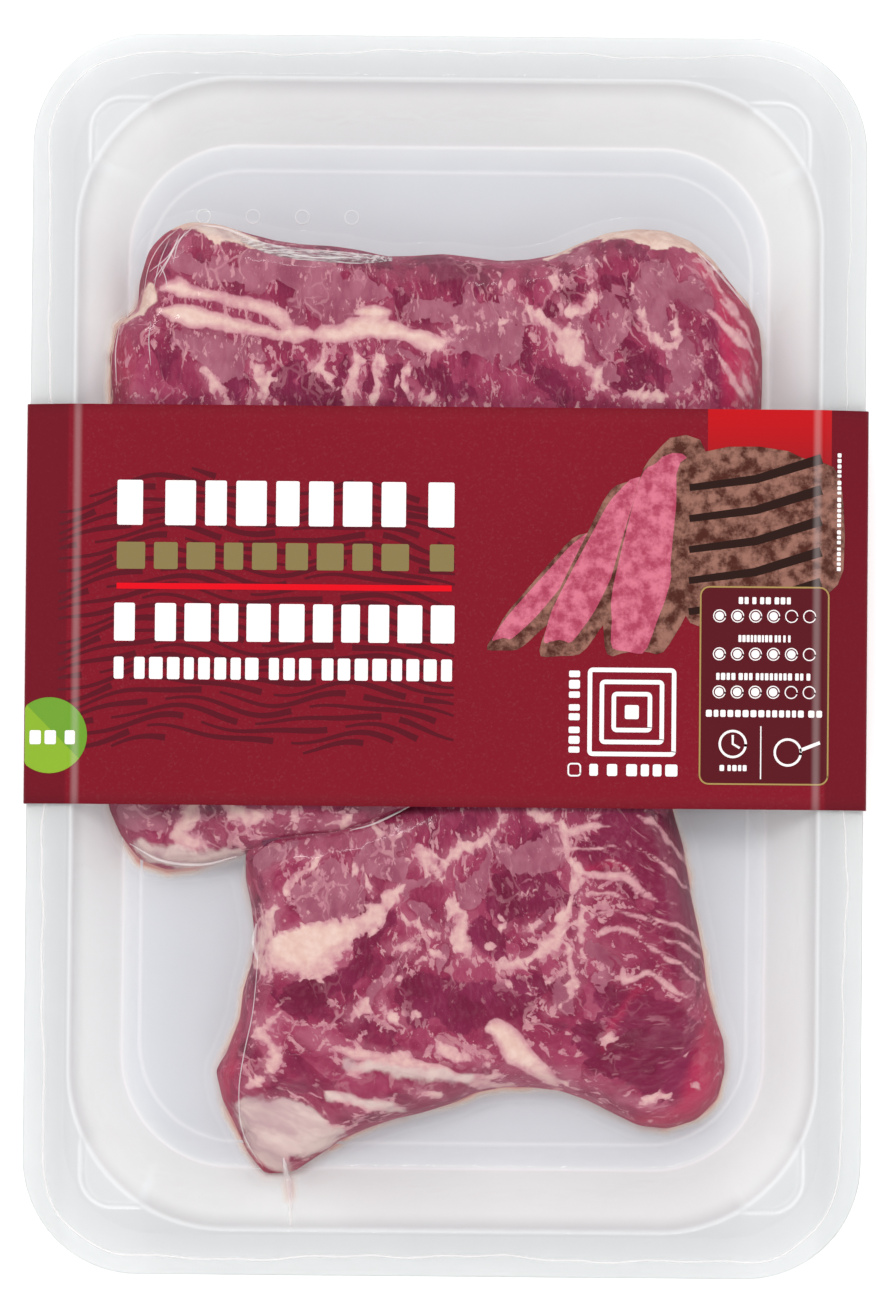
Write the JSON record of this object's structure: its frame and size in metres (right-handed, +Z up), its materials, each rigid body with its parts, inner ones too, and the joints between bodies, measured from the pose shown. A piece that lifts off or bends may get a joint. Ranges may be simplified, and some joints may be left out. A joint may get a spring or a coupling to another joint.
{
  "type": "vacuum-packed tri-tip steaks",
  "caption": "Raw marbled tri-tip beef steaks sealed under clear skin film on a shallow translucent tray, with a dark red cardboard sleeve round the middle.",
  "frame": {"origin": "on the table, under the middle of the tray", "axes": "+X across the tray, +Y along it towards the end where the larger steak lies, +Z up"},
  "size_m": [0.1824, 0.2684, 0.0234],
  "materials": {
    "tray_plastic": "translucent milky polypropylene, satin, cool grey",
    "meat": "wet raw beef, deep purple red, with cream and pink fat marbling",
    "clear_film": "clear tight skin film, glossy",
    "printed_card": "coated carton printed dark red, with plain fields of colour"
  },
  "bodies": {
    "root": {"tray": "tray_plastic", "steak_upper": "meat", "steak_lower": "meat", "film": "clear_film", "sleeve": "printed_card"}
  },
  "joints": []
}
